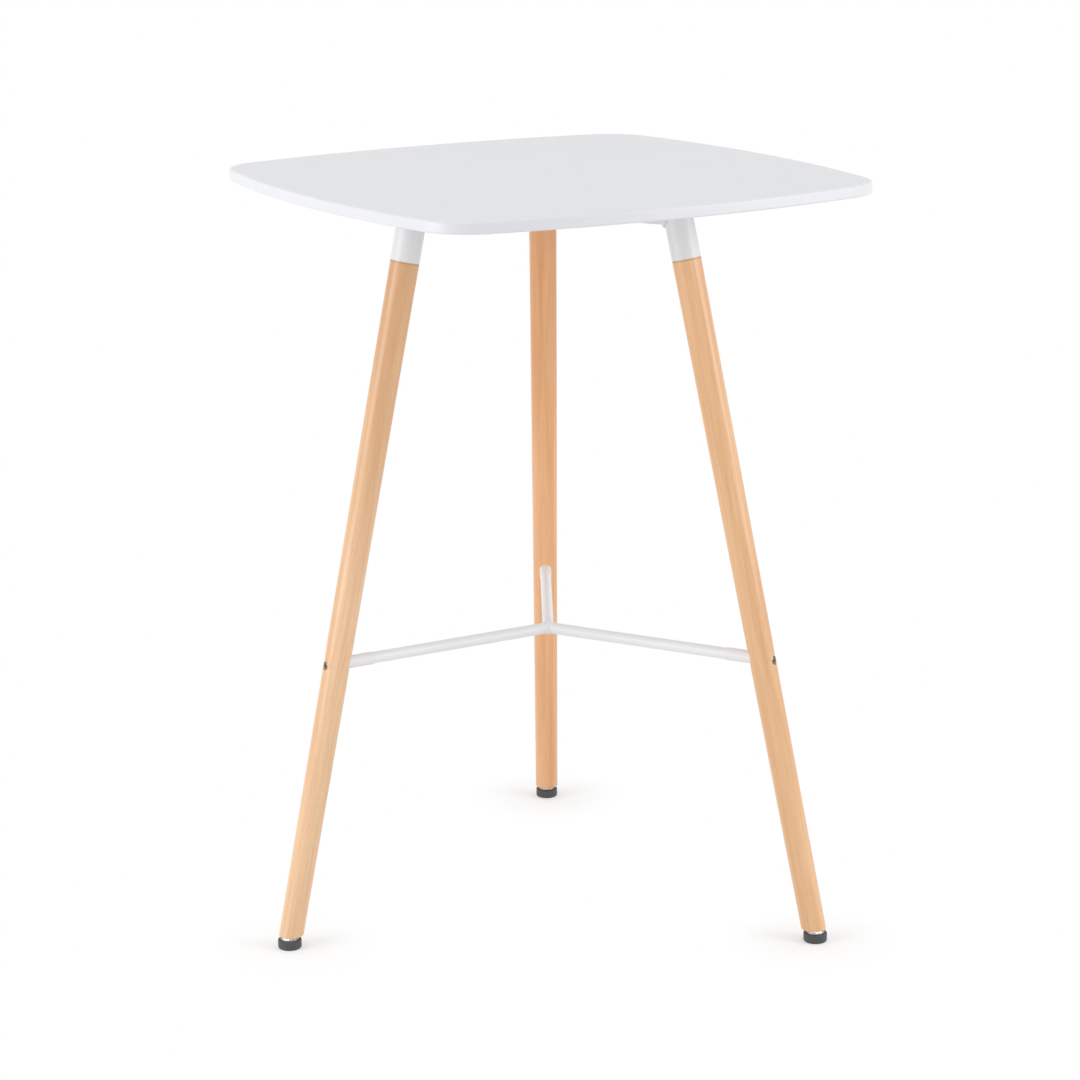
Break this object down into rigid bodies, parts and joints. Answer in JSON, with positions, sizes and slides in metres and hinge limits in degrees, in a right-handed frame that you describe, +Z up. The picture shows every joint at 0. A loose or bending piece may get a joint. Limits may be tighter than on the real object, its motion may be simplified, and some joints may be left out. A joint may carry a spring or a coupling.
{
  "type": "bar table",
  "caption": "Bar-height table: white board top with bowed sides on splayed round beech legs, tube under-frame, Y-shaped footrest and screw-levelled feet.",
  "frame": {"origin": "at floor level, under the centre of the tabletop", "axes": "+Z up; X and Y square to the sides of the top; the left leg leans out along -X, the rear and right legs at 60 degrees either side of +X"},
  "size_m": [0.8101, 0.7666, 1.05],
  "materials": {
    "white_board": "satin white lacquer on fibreboard",
    "white_steel": "satin white powder coat",
    "white_plastic": "satin moulded polyamide",
    "beech": "clear satin lacquer",
    "zinc_steel": "bright zinc plate",
    "dark_plastic": "fine moulded grain"
  },
  "bodies": {
    "frame": {"centre_plate": "white_steel", "centre_plate_screws": "zinc_steel", "end_plate_left": "white_steel", "end_plate_rear": "white_steel", "end_plate_right": "white_steel", "end_plate_screws": "zinc_steel", "footrest_bolt_left": "zinc_steel", "footrest_bolt_rear": "zinc_steel", "footrest_bolt_right": "zinc_steel", "footrest_bush_left": "zinc_steel", "footrest_bush_rear": "zinc_steel", "footrest_bush_right": "zinc_steel", "footrest_ferrule_left": "white_plastic", "footrest_ferrule_rear": "white_plastic", "footrest_ferrule_right": "white_plastic", "footrest_rung_left": "white_steel", "footrest_rung_rear": "white_steel", "footrest_rung_right": "white_steel", "frame_arm_left": "white_steel", "frame_arm_rear": "white_steel", "frame_arm_right": "white_steel", "leg_insert_left": "zinc_steel", "leg_insert_rear": "zinc_steel", "leg_insert_right": "zinc_steel", "leg_left": "beech", "leg_rear": "beech", "leg_right": "beech", "leg_socket_left": "white_steel", "leg_socket_rear": "white_steel", "leg_socket_right": "white_steel", "retaining_screw_left": "zinc_steel", "retaining_screw_rear": "zinc_steel", "retaining_screw_right": "zinc_steel", "tabletop": "white_board"},
    "glide_left": {"foot_pad_left": "dark_plastic"},
    "stud_left": {"levelling_stud_left": "zinc_steel"},
    "glide_right": {"foot_pad_right": "dark_plastic"},
    "stud_right": {"levelling_stud_right": "zinc_steel"},
    "glide_rear": {"foot_pad_rear": "dark_plastic"},
    "stud_rear": {"levelling_stud_rear": "zinc_steel"}
  },
  "joints": [
    {"name": "foot_height_left", "type": "slide", "parent": "frame", "child": "glide_left", "axis": [0, 0, -1], "range_m": [0, 0.01]},
    {"name": "stud_turn_left", "type": "hinge", "parent": "glide_left", "child": "stud_left", "pos_m": [-0.42357, 0, 0], "axis": [0, 0, -1], "range_deg": [0, 2881]},
    {"name": "foot_height_right", "type": "slide", "parent": "frame", "child": "glide_right", "axis": [0, 0, -1], "range_m": [0, 0.01]},
    {"name": "stud_turn_right", "type": "hinge", "parent": "glide_right", "child": "stud_right", "pos_m": [0.21179, -0.36683, 0], "axis": [0, 0, -1], "range_deg": [0, 2881]},
    {"name": "foot_height_rear", "type": "slide", "parent": "frame", "child": "glide_rear", "axis": [0, 0, -1], "range_m": [0, 0.01]},
    {"name": "stud_turn_rear", "type": "hinge", "parent": "glide_rear", "child": "stud_rear", "pos_m": [0.21179, 0.36683, 0], "axis": [0, 0, -1], "range_deg": [0, 2881]}
  ],
  "couplings": [
    {"joint": "stud_turn_left", "follows": "foot_height_left", "rad_per_m": 5026.5},
    {"joint": "stud_turn_right", "follows": "foot_height_right", "rad_per_m": 5026.5},
    {"joint": "stud_turn_rear", "follows": "foot_height_rear", "rad_per_m": 5026.5}
  ]
}
